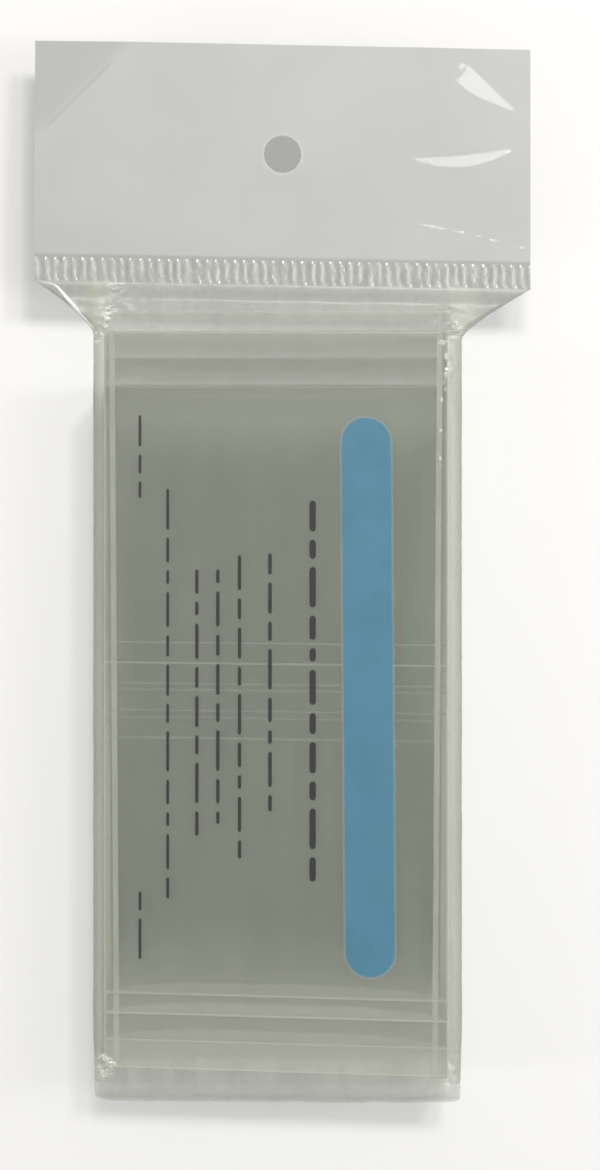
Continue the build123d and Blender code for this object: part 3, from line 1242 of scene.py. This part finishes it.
# Lamps: name, place, size, power and tint
WHITE = (1.0, 1.0, 1.0)
WARM = (1.0, 0.78, 0.52)
LAMPS = (
    ("top_lamp", (0.05, 0.30, 0.55), (0.08, 0.08), 0.8, WHITE),
    ("corner_lamp", (0.19, 0.28, 0.55), (0.08, 0.08), 0.8, WHITE),
    ("warm_lamp", (0.093, 0.283, 0.56), (0.05, 0.05), 0.3, WARM),
    ("right_lamp", (0.42, 0.05, 0.35), (0.12, 0.3), 0.6, WHITE),
    ("left_lamp", (-0.5, -0.1, 0.22), (0.04, 0.3), 0.35, WHITE),
)


def make_floor():
    bpy.ops.mesh.primitive_plane_add(size=4, location=(0, 0, -0.1 * MM))
    floor = bpy.context.object
    floor.name = "floor"
    look = Finish("floor_paper")
    soft = look.grain(60, detail=2)
    tone = colours().floor
    look.set(Base_Color=look.mix(soft, shade(tone, 0.99), tone), Roughness=0.9)
    glow = look.node("ShaderNodeEmission", sockets={"Color": WHITE, "Strength": 1.0})
    white = look.seen() * FLOOR_WHITE
    surface = look.node("ShaderNodeMixShader", sockets={0: white, 1: look.shader, 2: glow})
    plug(look.tree, look.output.inputs["Surface"], surface)
    floor.data.materials.append(look.material)


def make_lamp(name, place, size, power, tint):
    """A soft lamp that points at the pack."""
    bpy.ops.object.light_add(type="AREA", location=place)
    lamp = bpy.context.object
    lamp.name = name
    lamp.data.shape = "RECTANGLE"
    lamp.data.size, lamp.data.size_y = size
    lamp.data.energy = power
    lamp.data.color = tint
    lamp.rotation_euler = (-Vector(place)).to_track_quat("-Z", "Y").to_euler()


def make_world():
    """Soft light from all round, plain white to the camera and in reflections."""
    world = bpy.data.worlds.new("studio")
    bpy.context.scene.world = world
    sky = Nodes(world)
    level = WORLD_LEVEL + sky.seen() * (1 - WORLD_LEVEL)
    back = sky.node("ShaderNodeBackground", sockets={"Color": WHITE, "Strength": level})
    sky.add("ShaderNodeOutputWorld", sockets={"Surface": back})


CAMERA_DISTANCE = 0.75
SENSOR = 36


def make_camera():
    middle_x = (PHOTO_WIDE / 2 - PHOTO_MIDDLE_X) * PIXEL
    middle_y = (PHOTO_MIDDLE_Y - PHOTO_HIGH / 2) * PIXEL
    clear_selection()
    bpy.ops.object.camera_add(location=(middle_x, middle_y, FRONT_Z + CAMERA_DISTANCE), rotation=(0, 0, 0))
    camera = bpy.context.object
    camera.data.sensor_fit = "VERTICAL"
    camera.data.sensor_height = SENSOR
    camera.data.lens = SENSOR * CAMERA_DISTANCE / (PHOTO_HIGH * PIXEL)
    camera.data.clip_start = 0.01
    bpy.context.scene.camera = camera


def make_stage():
    make_camera()
    make_floor()
    make_world()
    for lamp in LAMPS:
        make_lamp(*lamp)
    scene = bpy.context.scene
    scene.view_settings.view_transform = "Standard"
    scene.cycles.transparent_max_bounces = 48


# Operators

class PACK_OT_stage(bpy.types.Operator):
    """Make the floor, the lamps and the camera"""
    bl_idname = "pack.stage"
    bl_label = "Stage"

    def execute(self, context):
        make_stage()
        return {"FINISHED"}


class PACK_OT_header(bpy.types.Operator):
    """Make the white header sheet between its clear films"""
    bl_idname = "pack.header"
    bl_label = "Header"

    def execute(self, context):
        make_header()
        return {"FINISHED"}


class PACK_OT_seal(bpy.types.Operator):
    """Make the ribbed seal under the header"""
    bl_idname = "pack.seal"
    bl_label = "Crimp seal"

    def execute(self, context):
        make_seal()
        return {"FINISHED"}


class PACK_OT_bag(bpy.types.Operator):
    """Make the front and the back of the bag"""
    bl_idname = "pack.bag"
    bl_label = "Bag films"

    def execute(self, context):
        make_front_film()
        make_back_film()
        return {"FINISHED"}


class PACK_OT_welds(bpy.types.Operator):
    """Make the trim welds along the bag's sides"""
    bl_idname = "pack.welds"
    bl_label = "Side welds"

    def execute(self, context):
        make_side_welds()
        return {"FINISHED"}


class PACK_OT_closure(bpy.types.Operator):
    """Make the bottom end, its lip and the adhesive strip"""
    bl_idname = "pack.closure"
    bl_label = "Bottom closure"

    def execute(self, context):
        make_bottom_panel()
        make_flap_lip()
        make_adhesive_strip()
        return {"FINISHED"}


class PACK_OT_front_flips(bpy.types.Operator):
    """Make the flips that have slipped up"""
    bl_idname = "pack.front_flips"
    bl_label = "Front flips"

    def execute(self, context):
        make_front_flips()
        return {"FINISHED"}


class PACK_OT_flip_stack(bpy.types.Operator):
    """Make the flips that lie square"""
    bl_idname = "pack.flip_stack"
    bl_label = "Flip stack"

    def execute(self, context):
        make_flip_stack()
        return {"FINISHED"}


class PACK_OT_print(bpy.types.Operator):
    """Make the plain printed bar and rules"""
    bl_idname = "pack.print"
    bl_label = "Print"

    def execute(self, context):
        make_print()
        return {"FINISHED"}


OPERATORS = (
    PACK_OT_stage, PACK_OT_header, PACK_OT_seal, PACK_OT_bag, PACK_OT_welds,
    PACK_OT_closure, PACK_OT_front_flips, PACK_OT_flip_stack, PACK_OT_print,
)


class PACK_PT_pieces(bpy.types.Panel):
    bl_label = "Flip Pack"
    bl_idname = "PACK_PT_pieces"
    bl_space_type = "VIEW_3D"
    bl_region_type = "UI"
    bl_category = "Flip Pack"

    def draw(self, context):
        layout = self.layout
        for operator in OPERATORS:
            layout.operator(operator.bl_idname)
        for group in (context.scene.pack_sizes, context.scene.pack_colours):
            box = layout.box()
            for key in group.bl_rna.properties.keys():
                if key not in {"rna_type", "name"}:
                    box.prop(group, key)


CLASSES = (PackSizes, PackColours, *OPERATORS, PACK_PT_pieces)


def register():
    for cls in CLASSES:
        bpy.utils.register_class(cls)
    bpy.types.Scene.pack_sizes = PointerProperty(type=PackSizes)
    bpy.types.Scene.pack_colours = PointerProperty(type=PackColours)


def unregister():
    del bpy.types.Scene.pack_colours
    del bpy.types.Scene.pack_sizes
    for cls in reversed(CLASSES):
        bpy.utils.unregister_class(cls)


def main():
    register()
    for operator in OPERATORS:
        group, name = operator.bl_idname.split(".")
        getattr(getattr(bpy.ops, group), name)()


if __name__ == "__main__":
    main()
